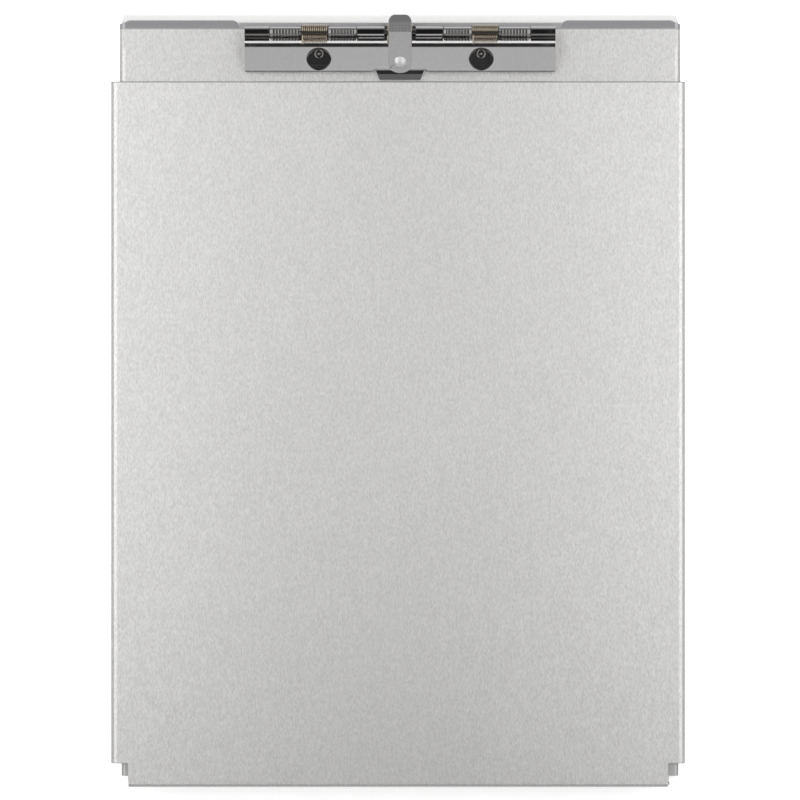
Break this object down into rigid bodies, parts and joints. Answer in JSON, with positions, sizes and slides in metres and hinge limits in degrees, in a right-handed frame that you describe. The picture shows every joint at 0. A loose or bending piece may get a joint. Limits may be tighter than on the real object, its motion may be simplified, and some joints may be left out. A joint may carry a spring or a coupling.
{
  "type": "storage clipboard box",
  "caption": "Shallow sheet-metal document box under a hinged writing plate, with a wide sprung clip and thumb lever on a fixed deck at the top end.",
  "frame": {"origin": "on the back of the box, under the middle of its overall length and width", "axes": "+Z out of the writing face, +Y along the box towards the clip, +X to the right as the writing face is read"},
  "size_m": [0.235, 0.3174, 0.0379],
  "materials": {
    "aluminium_sheet": "fine brushed grain along Y, slightly warm grey",
    "hinge_aluminium": "plain mill finish",
    "pin_steel": "drawn wire",
    "clip_chrome": "bright nickel or chrome plate on spring steel",
    "lever_steel": "satin plate",
    "rivet_chrome": "bright plate",
    "spring_wire": "yellow-passivated steel wire, olive brass tone"
  },
  "bodies": {
    "tray": {"tray": "aluminium_sheet", "clip_plate": "aluminium_sheet", "hinge_leaf_tray": "hinge_aluminium", "hinge_pin": "pin_steel", "clip_base": "clip_chrome", "clip_pin": "pin_steel", "clip_rivet_left": "rivet_chrome", "clip_rivet_right": "rivet_chrome", "spring_left": "spring_wire", "spring_centre": "spring_wire", "spring_right": "spring_wire"},
    "cover": {"cover_plate": "aluminium_sheet", "hinge_leaf_cover": "hinge_aluminium"},
    "flap": {"clip_flap": "clip_chrome", "thumb_lever": "lever_steel", "lever_rivet": "rivet_chrome"}
  },
  "joints": [
    {"name": "cover_hinge", "type": "hinge", "parent": "tray", "child": "cover", "pos_m": [0.0008, -0.15605, 0.012], "axis": [1, 0, 0], "range_deg": [0, 135]},
    {"name": "clip_hinge", "type": "hinge", "parent": "tray", "child": "flap", "pos_m": [0.0008, 0.1499, 0.0306], "axis": [-1, 0, 0], "range_deg": [0, 40], "stiffness_Nm_per_rad": 0.3, "springref_deg": -45.84, "deforming": ["spring_left", "spring_centre", "spring_right"]}
  ]
}
